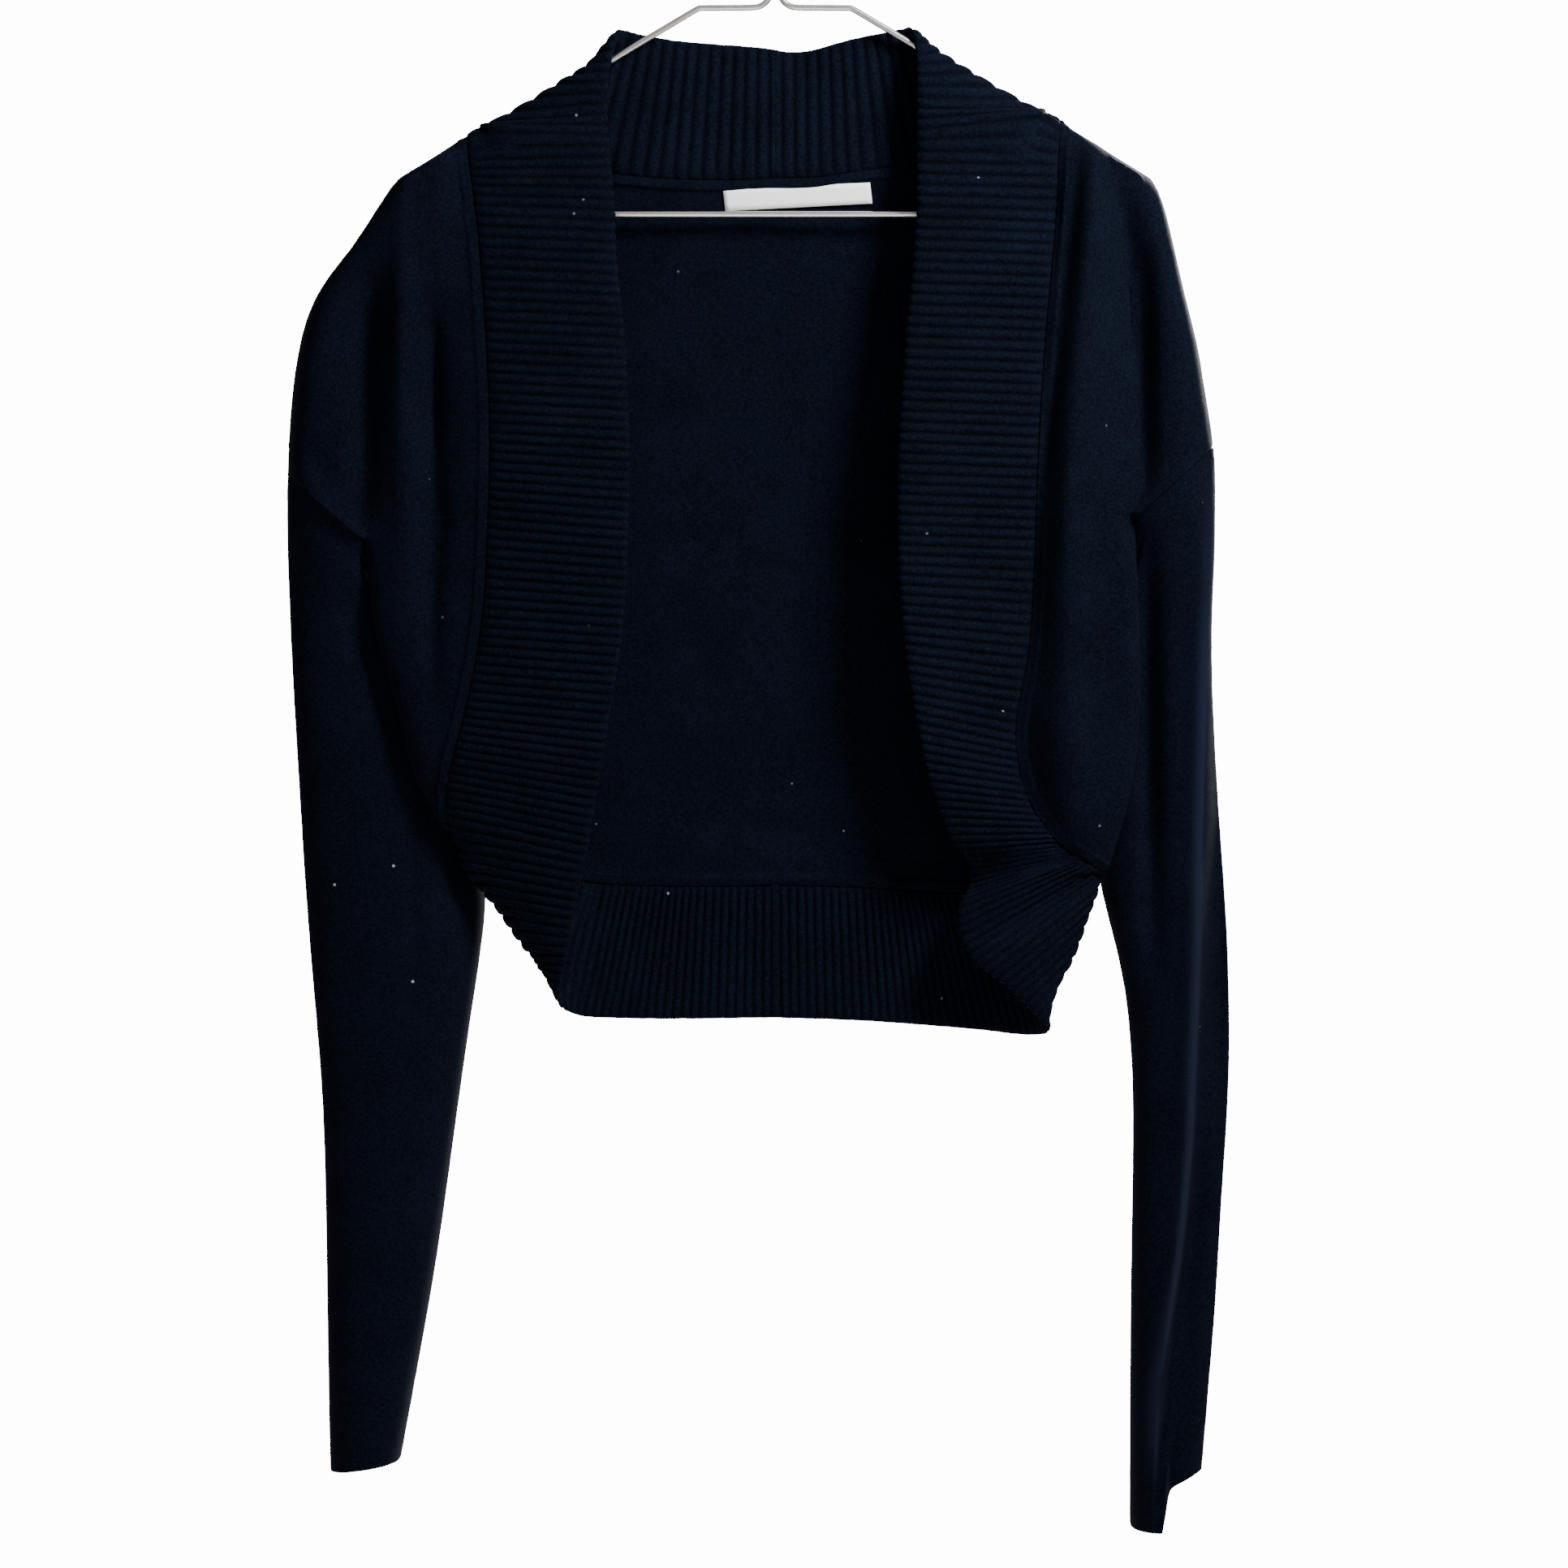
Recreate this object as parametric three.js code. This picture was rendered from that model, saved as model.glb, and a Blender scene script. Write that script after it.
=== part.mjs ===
import * as THREE from 'three';

// An open ribbed-band cardigan hanging on a bent wire hanger.
// Millimetres, +Z up, the front faces -Y. The origin is the inner top of the hook.

const HOOK_INNER_RADIUS = 20.1;
const WIRE_RADIUS = 1.6;
const WIRE_SIDES = 8;
const STEM_OFFSET = 1.9;          // each end of the wire beside the middle line
const FRAME_TOP = -70.6;          // height of the wire's flat neck
const FRAME_NECK = 38;            // half width of the flat neck
const ARM_SLOPE = 0.6;            // fall of the arms for each mm outwards
const BAR_HEIGHT = -173;          // height of the lower bar
const TIP_RADIUS = 9.3;           // bend of the wire at the arms' ends

const JERSEY = 2.0;               // wall of the plain knit
const RIB_WALL = 1.8;             // wall of the band between its ribs
const RIB_RISE = 1.0;             // height of a rib over that wall
const SEAM_GAP = 0.3;             // between two pieces along a seam
const CURVE_ROOM = 0.45;          // more, where a panel's long edges bridge the band's fine curve
const CORNER_ROOM = 0.5;          // more again at the bottom corners, where the band turns back
const HEM_CORNER_ROOM = 5;        // more again for the back, above those corners
const CORNER_TOP = -440;          // height where those corners begin
const CLOTH_LIFT = 3.3;           // middle of the cloth over the wire's axis
const SIDE_Y = -10;               // depth of the side seams under the arms
const SIDE_LIP = 1.6;             // how far the back stands off that depth beside the seam
const ARMPIT_ROOM = 2.6;          // more room between the sleeve and the panels under the arm
const SHOULDER_ROOM = 1.04;       // and at the sleeve's top, where the ring bends as sharply
const NARROW_PANEL = 12;          // a front's width under which it runs straight across
const EDGE_TURN = 12;             // radius of the cloth's turn beside the sides and shoulders
const BAND_BOW = 1.4;             // how far a flat stretch of band bows outwards
const ARMHOLE_STEPS = 6;          // rows of a panel along its armhole
const RING_POINTS = 4 * ARMHOLE_STEPS;
const ROWS_OVER_SHOULDER = 8;     // rows of a panel from the shoulder to the armhole
const ROWS_UNDER_ARM = 8;         // rows of a panel from the armhole to the hem
const SHOWN_FROM = -7;            // depth of the free edge behind which the band's inside is ribbed
const PITCH = 6;                  // place of the rib pitch in a row of a band
const SAMPLES = 900;              // steps used to even out the ribs along a band's free edge

const LABEL_THICKNESS = 0.5;
// columns: x, z of the label's corners, clockwise from its upper left
const LABEL_CORNERS = [[-26, -159.6], [47.2, -156.4], [48.4, -166.6], [-24.8, -170.4]];

const NAVY = new THREE.MeshStandardMaterial({ color: 0x121722, roughness: 1, metalness: 0 });
const NAVY_RIB = new THREE.MeshStandardMaterial({ color: 0x10151f, roughness: 1, metalness: 0 });
const WHITE_TAPE = new THREE.MeshStandardMaterial({ color: 0xf4f4f2, roughness: 0.8, metalness: 0 });
const PALE_STEEL = new THREE.MeshStandardMaterial({ color: 0xcbbfba, roughness: 0.3, metalness: 1 });

// Each half of the band, from the centre back neck round to the centre back hem.
// columns: free edge x, y, z, seam edge x, y, z, rib pitch, and where the band folds over,
// the front x, y, z and the back x, y, z of that fold
const BAND_LEFT_ROWS = [
  [-0.2, 9, -89.5, -0.2, 6.5, -154.5, 5.9],
  [-25, 9, -88, -28, 6.5, -155.5, 5.9],
  [-50, 8.5, -86, -58, 6.5, -154.5, 5.9],
  [-69, 6.5, -83, -84, 6.5, -151.8, 5.9, -70.5, 7.2, -88, -78, 8, -122],
  [-77.2, 2, -81.8, -101, 6.5, -149.5, 5.8, -78.6, 4.2, -85, -86, 7, -110],
  [-79.4, -2.6, -84.6, -112, 6.5, -148, 5.7, -81, -1.8, -85.8, -83, 3.8, -88.5],
  [-81.5, -6, -96, -122, 6.5, -146, 5.6, -91, -3.6, -98.4, -91, 3.6, -98.4],
  [-83, -8, -108, -135, 6.5, -143, 5.5, -107, -3.6, -108.2, -107, 3.6, -108.2],
  [-83.4, -9, -119, -146, 6.5, -138.5, 5.4, -129, -3.6, -121.8, -129, 3.6, -121.8],
  [-83.4, -9.4, -123, -149.5, 4.6, -136.5, 5.4, -140, -3.6, -127.7, -140, 3.6, -127.7],
  [-83.3, -9.6, -127, -151.5, 0.6, -133.2, 5.4, -146, -6.2, -131.5, -146, 1, -131.5],
  [-83, -10, -132.5, -152.5, -6, -137, 5.4, -144, -10.4, -130.7, -144, -3.2, -130.7],
  [-82, -11, -146, -151.5, -9.5, -148, 5.4, -123.7, -11.1, -147.2, -137.6, -10.8, -147.6],
  [-80, -13, -165, -149.3, -12, -163, 5.4, -107.7, -13.8, -164.2, -129.9, -13.5, -163.6],
  [-78.4, -15, -199, -145.5, -15, -196, 5.3],
  [-75, -17, -232, -143, -16.5, -229, 5.2],
  [-72.4, -18.5, -284, -140.6, -18, -280, 5],
  [-72.8, -19.5, -332, -141.4, -18.5, -326, 4.8],
  [-75.6, -20, -381, -144.5, -18.5, -376, 4.75],
  [-82, -20, -424, -152, -18, -417, 4.75],
  [-88.5, -19, -462, -160, -16, -449, 4.7, -120.7, -18.6, -456.1, -142.1, -17.8, -452.2],
  [-92.5, -18.5, -486, -161.5, -12, -470, 4.6, -139.4, -15.1, -475.1, -152.5, -13.8, -472.1],
  [-96, -18, -504, -154.5, 0, -486, 4.6, -155.1, -9.6, -492.9, -155.1, -2.4, -492.9],
  [-100, -17, -524, -133, 6.5, -494.5, 4.6, -137.6, -8.6, -516.9, -137.6, -1.4, -516.9],
  [-103.5, -14, -543, -112, 11, -501.5, 4.6, -119.4, -7.6, -541.4, -119.4, -0.4, -541.4],
  [-107.2, -6, -562, -97, 13, -504, 4.5, -112.2, -3.2, -551.6, -107, 3, -535],
  [-99, 4, -569.4, -85, 14, -505.5, 4.5],
  [-80, 10, -571.4, -68, 14.5, -506, 4.5],
  [-44, 13, -572, -40, 15, -506.5, 4.5],
  [-0.2, 14, -571.4, -0.2, 15.5, -506, 4.5],
];
const BAND_RIGHT_ROWS = [
  [0.2, 9, -89.5, 0.2, 6.5, -154.5, 5.9],
  [20, 9, -89.4, 21, 6.5, -154, 5.9],
  [40, 8, -85, 45, 6.5, -150.5, 5.9],
  [58, 6.5, -81.8, 73, 6.5, -147.4, 5.9, 59.5, 7.2, -87, 66.5, 8, -120],
  [67, 2, -81, 91, 6.5, -145, 5.8, 68.6, 4.2, -84, 76, 7, -108],
  [69, -2.6, -83, 101, 6.5, -143.5, 5.7, 70.8, -1.8, -84.2, 73, 3.8, -86.6],
  [70.5, -6, -94, 110, 6.5, -141.5, 5.6, 80, -3.6, -92.2, 80, 3.6, -92.2],
  [70.6, -8, -106, 124, 6.5, -138, 5.5, 98, -3.6, -103.2, 98, 3.6, -103.2],
  [70.6, -9, -115, 133, 6.5, -132.8, 5.4, 116, -3.6, -114, 116, 3.6, -114],
  [70.6, -9.4, -119, 137.5, 4.6, -129.5, 5.4, 127, -3.6, -120.1, 127, 3.6, -120.1],
  [70.5, -9.6, -123.5, 139.6, 0.6, -126, 5.4, 133.5, -6.2, -124, 133.5, 1, -124],
  [70.4, -10, -130, 141, -6, -130, 5.4, 132, -10.4, -123.6, 132, -3.2, -123.6],
  [70.4, -11, -146, 140, -9.5, -147, 5.5, 112.2, -11.1, -146.6, 126.1, -10.8, -146.8],
  [70.4, -13, -170, 139, -11.5, -172, 5.5, 97.8, -13.6, -170.8, 119.8, -13.1, -171.4],
  [68, -15, -204, 136, -14, -206, 5.4],
  [64.5, -17, -240, 132.8, -14, -242, 5.3],
  [61.2, -18.5, -296, 129.6, -12, -298, 5.1],
  [61.2, -19.5, -341, 128.4, -10, -343, 4.9],
  [63.6, -20, -382, 125.5, -8, -388, 4.9],
  [70, -20, -424, 118.5, -7, -434, 4.9],
  [78, -18, -458, 125, -9, -464, 4.7],
  [87.5, -13, -482, 137, -12, -482, 4.6],
  [97, -4, -495, 145, -13, -488.5, 4.6],
  [98, -2, -506, 149, -13.5, -491, 4.6],
  [91, -12, -516, 152, -14, -493, 4.6, 121.5, -14, -504.5, 137.4, -14.5, -498.5],
  [92, -17, -531, 156, -14, -495.5, 4.6, 140.6, -15.7, -504, 149.6, -15.3, -499.1],
  [101, -18, -544.5, 161.5, -6, -498, 4.6, 159.1, -11.6, -501.9, 159.1, -4.4, -501.9],
  [115, -17, -555.5, 154, 2, -502.5, 4.6, 153.6, -9.6, -522.4, 153.6, -2.4, -522.4],
  [127, -14, -567.5, 139, 8, -506.5, 4.6, 142.4, -8.6, -549.4, 142.4, -1.4, -549.4],
  [135, -6, -577, 123, 11.5, -508.5, 4.5, 133.1, -3.7, -566, 130, 0.8, -548.2],
  [126, 4, -579.5, 108, 13, -509.5, 4.5, 121.3, 6.3, -561.3, 115.6, 9.2, -538.9],
  [104, 10, -577.5, 88, 14, -509.5, 4.5],
  [50, 13, -573.4, 46, 15, -507, 4.5],
  [0.2, 14, -571.4, 0.2, 15.5, -506, 4.5],
];

// Outlines of the body beyond the bands, one table for each stretch of edge.
// columns: height on the band's seam, edge x, edge z
const SHOULDER_EDGE_LEFT = [
  [-136.4, -188.2, -158.6],
  [-141, -190.6, -162.6],
  [-158, -196.8, -171],
  [-180, -209, -190.5],
  [-200, -223, -206.6],
  [-218, -231.4, -223],
  [-240, -236.4, -244],
  [-267, -239.8, -272],
  [-296, -240.8, -303],
];
const SIDE_EDGE_LEFT = [
  [-345, -201.6, -336.4],
  [-366, -199, -364],
  [-388, -195.6, -388.4],
  [-410, -187.4, -408],
  [-432, -182.6, -432],
  [-452, -176.5, -454],
  [-463, -169.5, -467],
  [-471, -165.2, -474.5],
];
const SHOULDER_EDGE_RIGHT = [
  [-129, 187.4, -157.8],
  [-134, 189.8, -163],
  [-150, 193.4, -174],
  [-172, 198.4, -196],
  [-192, 203.4, -218],
  [-210, 208.8, -238],
  [-232, 211.6, -257],
  [-256, 214.6, -275],
  [-280, 216.8, -289],
];
const SIDE_EDGE_RIGHT = [
  [-336, 176.6, -325],
  [-364, 177.6, -356],
  [-390, 179.4, -392],
  [-412, 180, -420],
  [-440, 177.4, -446],
  [-462, 172, -470],
  [-482, 167, -486],
  [-495, 163.4, -497],
];

// Where the front panels' points lie between the band (0) and the edge (1).
const LEFT_COLUMNS = [0, 0.1, 0.2, 0.27, 0.34, 0.43, 0.52, 0.6, 0.69, 0.8, 0.9, 0.965, 1];
const RIGHT_COLUMNS = [0, 0.07, 0.17, 0.29, 0.4, 0.48, 0.55, 0.62, 0.72, 0.82, 0.91, 0.965, 1];
// columns: x, z of the fold's top, x, z of its foot, half width, depth (+ is a trough, - a ridge)
const LEFT_FOLDS = [
  [-199, -205, -205, -338, 8, 10],
  [-184, -190, -178, -350, 7, -2],
  [-169, -225, -163, -352, 6, 7],
  [-226, -215, -230, -300, 8, -2],
];
const RIGHT_FOLDS = [
  [153, -150, 140, -440, 11, -9],
  [140, -420, 152, -480, 12, -6],
  [175, -180, 176, -330, 8, 11],
  [202, -185, 200, -290, 9, -3],
];

// The sleeves, a row for each ring from the armhole down.
// columns: outer edge x, z, inner edge x, z, outer y, inner y, half depth, fold's ridge x, its step
const SLEEVE_LEFT_ROWS = [
  [-240.8, -303, -201.6, -336.4, 0, SIDE_Y, 15, 0, 0],
  [-241.6, -322, -199, -350, 2, 6, 17, 0, 0],
  [-241.4, -348, -186, -376, 4, 14, 18, 0, 0],
  [-240, -391, -173, -413, 6, 17.5, 19, 0, 0],
  [-237.8, -438, -159.5, -453, 8, 19.5, 20, 0, 0],
  [-235.2, -480, -148, -490, 9, 20, 20, 0, 0],
  [-233.8, -505, -143.8, -514, 8, 15, 20, 0, 0],
  [-229.4, -555, -150, -556, 6, 10, 20, 0, 0],
  [-225.2, -597, -156, -597, 5, 8, 20, 0, 0],
  [-223, -640, -162, -640, 4, 7, 20, 0, 0],
  [-222, -690, -168.6, -690, 4, 6, 21, 0, 0],
  [-221.3, -742, -178, -742, 4, 5, 22, 0, 0],
  [-220, -795.5, -187, -790.5, 4, 4, 23, 0, 0],
];
const SLEEVE_RIGHT_ROWS = [
  [216.8, -289, 176.6, -325, 0, SIDE_Y, 15, 0, 0],
  [218, -310, 176.6, -341, 2, 7, 17, 0, 0],
  [217.6, -344, 169.6, -368, 4, 14, 18, 0, 0],
  [215.4, -386, 168, -405, 6, 17, 19, 214, 0],
  [218.2, -432, 165, -448, 7, 19, 20, 213.2, 7],
  [221.8, -478, 160.5, -486, 8, 20, 20, 212, 10],
  [223.6, -507, 164, -512, 8, 15, 20, 210, 12],
  [225.4, -550, 175.4, -552, 6, 9, 20, 207.8, 13],
  [225.8, -600, 179.4, -600, 5, 6, 20, 207, 13],
  [221.6, -655, 178.6, -655, 4, 5, 20, 203.6, 13],
  [218.8, -710, 177.6, -712, 4, 4, 21, 196.4, 13],
  [214, -765, 177.2, -775, 4, 4, 22, 188, 13],
  [211.4, -796, 177.2, -824, 4, 4, 23, 191, 13],
];

const point = (x, y, z) => new THREE.Vector3(x, y, z);
const armHeight = (x) => FRAME_TOP - (Math.abs(x) - FRAME_NECK) * ARM_SLOPE;
const ridgeHeight = (x) => armHeight(x) + CLOTH_LIFT;
const mix = THREE.MathUtils.lerp;
const ease = (t) => THREE.MathUtils.smoothstep(t, 0, 1);

// ---- closed walls from grids of middle points ----

function gridNormals(points, tube, outward) {
  const rows = points.length;
  const columns = points[0].length;
  return points.map((row, i) => row.map((_, j) => {
    const before = tube ? (j + columns - 1) % columns : Math.max(j - 1, 0);
    const after = tube ? (j + 1) % columns : Math.min(j + 1, columns - 1);
    const along = points[Math.min(i + 1, rows - 1)][j].clone().sub(points[Math.max(i - 1, 0)][j]);
    const across = row[after].clone().sub(row[before]);
    return along.cross(across).multiplyScalar(outward).normalize();
  }));
}

// Adds the strip that closes one side between the outer points and the inner ones.
function closeSide(faces, outer, inner, innerRows, column, turned) {
  const add = (a, b, c) => faces.push(...(turned ? [a, c, b] : [a, b, c]));
  for (let k = 0; k + 1 < innerRows.length; k += 1) {
    const from = innerRows[k];
    const to = innerRows[k + 1];
    for (let i = from; i < to; i += 1) {
      add(outer[i + 1][column], outer[i][column], inner[k][column]);
    }
    add(outer[to][column], inner[k][column], inner[k + 1][column]);
  }
}

// A wall with its outer points at half the thickness plus a rise, and the inner ones likewise.
function wallGeometry(points, normals, options) {
  const { thickness, tube = false, outerRise = () => 0, innerRise = () => 0 } = options;
  const rows = points.length;
  const columns = points[0].length;
  const innerRows = options.innerRows ?? points.map((_, i) => i);
  const positions = [];
  const place = (i, j, distance) => {
    const p = points[i][j].clone().addScaledVector(normals[i][j], distance);
    positions.push(p.x, p.y, p.z);
    return positions.length / 3 - 1;
  };
  const outer = points.map((row, i) => row.map((_, j) => place(i, j, thickness / 2 + outerRise(i))));
  const inner = innerRows.map((i) => (
    points[i].map((_, j) => place(i, j, -thickness / 2 - innerRise(i)))));
  const faces = [];
  const spans = tube ? columns : columns - 1;
  for (let j = 0; j < spans; j += 1) {
    const next = (j + 1) % columns;
    for (let i = 0; i + 1 < rows; i += 1) {
      faces.push(outer[i][j], outer[i + 1][j], outer[i + 1][next]);
      faces.push(outer[i][j], outer[i + 1][next], outer[i][next]);
    }
    for (let k = 0; k + 1 < innerRows.length; k += 1) {
      faces.push(inner[k][j], inner[k][next], inner[k + 1][next]);
      faces.push(inner[k][j], inner[k + 1][next], inner[k + 1][j]);
    }
    const last = rows - 1;
    const lastInner = innerRows.length - 1;
    faces.push(outer[0][j], outer[0][next], inner[0][next]);
    faces.push(outer[0][j], inner[0][next], inner[0][j]);
    faces.push(outer[last][next], outer[last][j], inner[lastInner][j]);
    faces.push(outer[last][next], inner[lastInner][j], inner[lastInner][next]);
  }
  if (!tube) {
    closeSide(faces, outer, inner, innerRows, 0, false);
    closeSide(faces, outer, inner, innerRows, columns - 1, true);
  }
  return closedGeometry(positions, faces);
}

// Turns the faces outwards where they bound a negative volume.
function closedGeometry(positions, faces) {
  const corner = (k) => point(positions[3 * k], positions[3 * k + 1], positions[3 * k + 2]);
  let volume = 0;
  for (let f = 0; f < faces.length; f += 3) {
    const [a, b, c] = [corner(faces[f]), corner(faces[f + 1]), corner(faces[f + 2])];
    volume += a.dot(b.cross(c));
  }
  if (volume < 0) faces.reverse();
  const geometry = new THREE.BufferGeometry();
  geometry.setAttribute('position', new THREE.Float32BufferAttribute(positions, 3));
  geometry.setIndex(faces);
  geometry.computeVertexNormals();
  return geometry;
}

// ---- the ribbed band ----

// Four points across the band: free edge, two between, seam edge.
function bandCrossRow([freeX, freeY, freeZ, seamX, seamY, seamZ, , ...fold]) {
  const free = point(freeX, freeY, freeZ);
  const seam = point(seamX, seamY, seamZ);
  if (fold.length > 0) {
    return [free, point(fold[0], fold[1], fold[2]), point(fold[3], fold[4], fold[5]), seam];
  }
  const bow = Math.sign(freeY + seamY) * BAND_BOW;
  const between = [1 / 3, 2 / 3].map((t) => free.clone().lerp(seam, t).add(point(0, bow, 0)));
  return [free, ...between, seam];
}

function bandStrip(rows, outward) {
  const cross = rows.map(bandCrossRow);
  const lines = [0, 1, 2, 3].map((j) => (
    new THREE.CatmullRomCurve3(cross.map((row) => row[j]), false, 'centripetal')));
  const pitchAt = (t) => {
    const place = t * (rows.length - 1);
    const row = Math.min(Math.floor(place), rows.length - 2);
    return mix(rows[row][PITCH], rows[row + 1][PITCH], place - row);
  };
  const counted = [0];
  for (let k = 1; k <= SAMPLES; k += 1) {
    const step = lines[0].getPoint(k / SAMPLES).distanceTo(lines[0].getPoint((k - 1) / SAMPLES));
    counted.push(counted[k - 1] + step / pitchAt((k - 0.5) / SAMPLES));
  }
  const ribs = Math.round(counted[SAMPLES]);
  const points = [];
  let k = 1;
  for (let column = 0; column <= 2 * ribs; column += 1) {
    const goal = (column / (2 * ribs)) * counted[SAMPLES];
    while (k < SAMPLES && counted[k] < goal) k += 1;
    const t = (k - 1 + (goal - counted[k - 1]) / (counted[k] - counted[k - 1])) / SAMPLES;
    points.push(lines.map((line) => line.getPoint(Math.min(t, 1))));
  }
  return { points, normals: gridNormals(points, false, outward), ribs };
}

// The band's inside is ribbed at the collar and the hem, where it shows, and plain elsewhere.
function bandGeometry(strip) {
  const last = strip.points.length - 1;
  const showsInside = (i) => strip.points[i][0].y > SHOWN_FROM && strip.points[i][3].y > 0;
  const innerRows = strip.points.map((_, i) => i).filter((i) => i % 2 === 0 || showsInside(i));
  return wallGeometry(strip.points, strip.normals, {
    thickness: RIB_WALL,
    outerRise: (i) => (i % 2 === 1 ? RIB_RISE : 0),
    innerRise: (i) => (i % 2 === 0 && i > 0 && i < last && showsInside(i) ? RIB_RISE : 0),
    innerRows,
  });
}

// The seam edge of a band as points with their normals and the direction away from the band.
function seamLine(strip) {
  return strip.points.map((row, i) => ({
    at: row[3],
    normal: strip.normals[i][3],
    away: row[3].clone().sub(row[2]).normalize(),
  }));
}

// The place on a stretch of seam where the given coordinate has the given value.
function onSeam(seam, axis, value, room = CURVE_ROOM) {
  for (let k = 0; k + 1 < seam.length; k += 1) {
    const a = seam[k].at[axis];
    const b = seam[k + 1].at[axis];
    if ((a - value) * (b - value) <= 0 && a !== b) {
      const t = (value - a) / (b - a);
      const away = seam[k].away.clone().lerp(seam[k + 1].away, t).normalize();
      return {
        point: seam[k].at.clone().lerp(seam[k + 1].at, t).addScaledVector(away, SEAM_GAP + room),
        normal: seam[k].normal.clone().lerp(seam[k + 1].normal, t).normalize(),
      };
    }
  }
  throw new Error(`the seam has no ${axis} of ${value}`);
}

// ---- sleeves ----

function sleeveRing(row, columns, last) {
  const [outerX, outerZ, innerX, innerZ, outerY, innerY, halfDepth, ridgeX, step] = row;
  const ring = [];
  for (let j = 0; j < columns; j += 1) {
    const angle = (j / columns) * 2 * Math.PI;
    const u = (1 - Math.cos(angle)) / 2;
    const x = mix(outerX, innerX, u);
    const depth = halfDepth * Math.abs(Math.sin(angle)) ** 0.8;
    let y = mix(outerY, innerY, u) - Math.sign(Math.sin(angle)) * depth;
    let z = mix(outerZ, innerZ, u);
    const inFront = angle < Math.PI;
    if (ridgeX !== 0 && inFront) {
      y += step * ease((x - ridgeX + 1) / 3) * Math.sin(angle) ** 0.5;
    }
    if (last && ridgeX !== 0) {
      z = x < ridgeX ? innerZ : mix(outerZ, outerZ - 10, (outerX - x) / (outerX - ridgeX));
    }
    ring.push(point(x, y, z));
  }
  return ring;
}

function sleeveGrid(rows, outward) {
  const rings = rows.map((row, i) => sleeveRing(row, RING_POINTS, i === rows.length - 1));
  const [outerX, outerZ, innerX, innerZ] = rows[0];
  const fall = point(innerZ - outerZ, 0, outerX - innerX).normalize();
  if (fall.z > 0) fall.negate();
  // every second point of the first ring lies halfway between its neighbours
  const armhole = rings[0].map((p, j) => {
    if (j % 2 === 0) return p.clone();
    return rings[0][j - 1].clone().add(rings[0][(j + 1) % RING_POINTS]).multiplyScalar(0.5);
  });
  rings[0] = armhole.map((p, j) => {
    const u = (1 - Math.cos((j / RING_POINTS) * 2 * Math.PI)) / 2;
    return p.clone().addScaledVector(fall, SEAM_GAP + ARMPIT_ROOM * u ** 8 + SHOULDER_ROOM * (1 - u) ** 8);
  });
  const normals = gridNormals(rings, true, outward);
  normals[0] = armhole.map((_, j) => {
    const across = armhole[(j + 1) % RING_POINTS].clone().sub(armhole[(j + RING_POINTS - 1) % RING_POINTS]);
    return fall.clone().cross(across).multiplyScalar(outward).normalize();
  });
  return { points: rings, normals, armhole };
}

// ---- body panels ----

function alongTable(rows, steps) {
  const curve = new THREE.CatmullRomCurve3(rows.map(([a, b, c]) => point(a, b, c)), false, 'centripetal');
  return Array.from({ length: steps + 1 }, (_, k) => {
    const p = curve.getPoint(k / steps);
    return { seamHeight: p.x, x: p.y, z: p.z };
  });
}

// The free edge of the body from the shoulder's tip to the hem: shoulder, armhole, side.
function bodyEdge(shoulderRows, sideRows, sleeve, side) {
  const shoulder = alongTable(shoulderRows, ROWS_OVER_SHOULDER);
  const under = alongTable(sideRows, ROWS_UNDER_ARM);
  const edge = shoulder.map(({ seamHeight, x, z }, k) => {
    const next = shoulder[Math.min(k + 1, shoulder.length - 1)];
    const before = shoulder[Math.max(k - 1, 0)];
    const normal = point(before.z - next.z, 0, next.x - before.x).normalize();
    if (normal.x * side < 0) normal.negate();
    return { seamHeight, front: point(x, -SEAM_GAP / 2, z), back: point(x, SEAM_GAP / 2, z), normal };
  });
  edge[0].normal = point(0, 0, 1);
  for (let k = 1; k < ARMHOLE_STEPS; k += 1) {
    edge.push({
      seamHeight: mix(shoulderRows.at(-1)[0], sideRows[0][0], k / ARMHOLE_STEPS),
      front: sleeve.armhole[2 * k].clone(),
      back: sleeve.armhole[RING_POINTS - 2 * k].clone(),
      frontNormal: sleeve.normals[0][2 * k],
      backNormal: sleeve.normals[0][RING_POINTS - 2 * k],
    });
  }
  under.forEach(({ seamHeight, x, z }) => {
    edge.push({
      seamHeight,
      front: point(x, SIDE_Y - SEAM_GAP / 2, z),
      back: point(x, SIDE_Y + SEAM_GAP / 2, z),
      normal: point(side, 0, -0.25).normalize(),
    });
  });
  return edge;
}

function foldDepth(folds, x, z) {
  return folds.reduce((sum, [topX, topZ, footX, footZ, halfWidth, depth]) => {
    const t = (z - topZ) / (footZ - topZ);
    if (t <= 0 || t >= 1) return sum;
    const away = (x - mix(topX, footX, t)) / halfWidth;
    return sum + depth * Math.exp(-away * away) * Math.sin(Math.PI * Math.sqrt(t)) ** 0.5;
  }, 0);
}

// How much of the full depth the cloth has at a distance from an edge, where it turns in a quarter circle.
function roundOff(distance, radius) {
  return Math.sqrt(1 - (1 - Math.min(distance / radius, 1)) ** 2);
}

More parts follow.
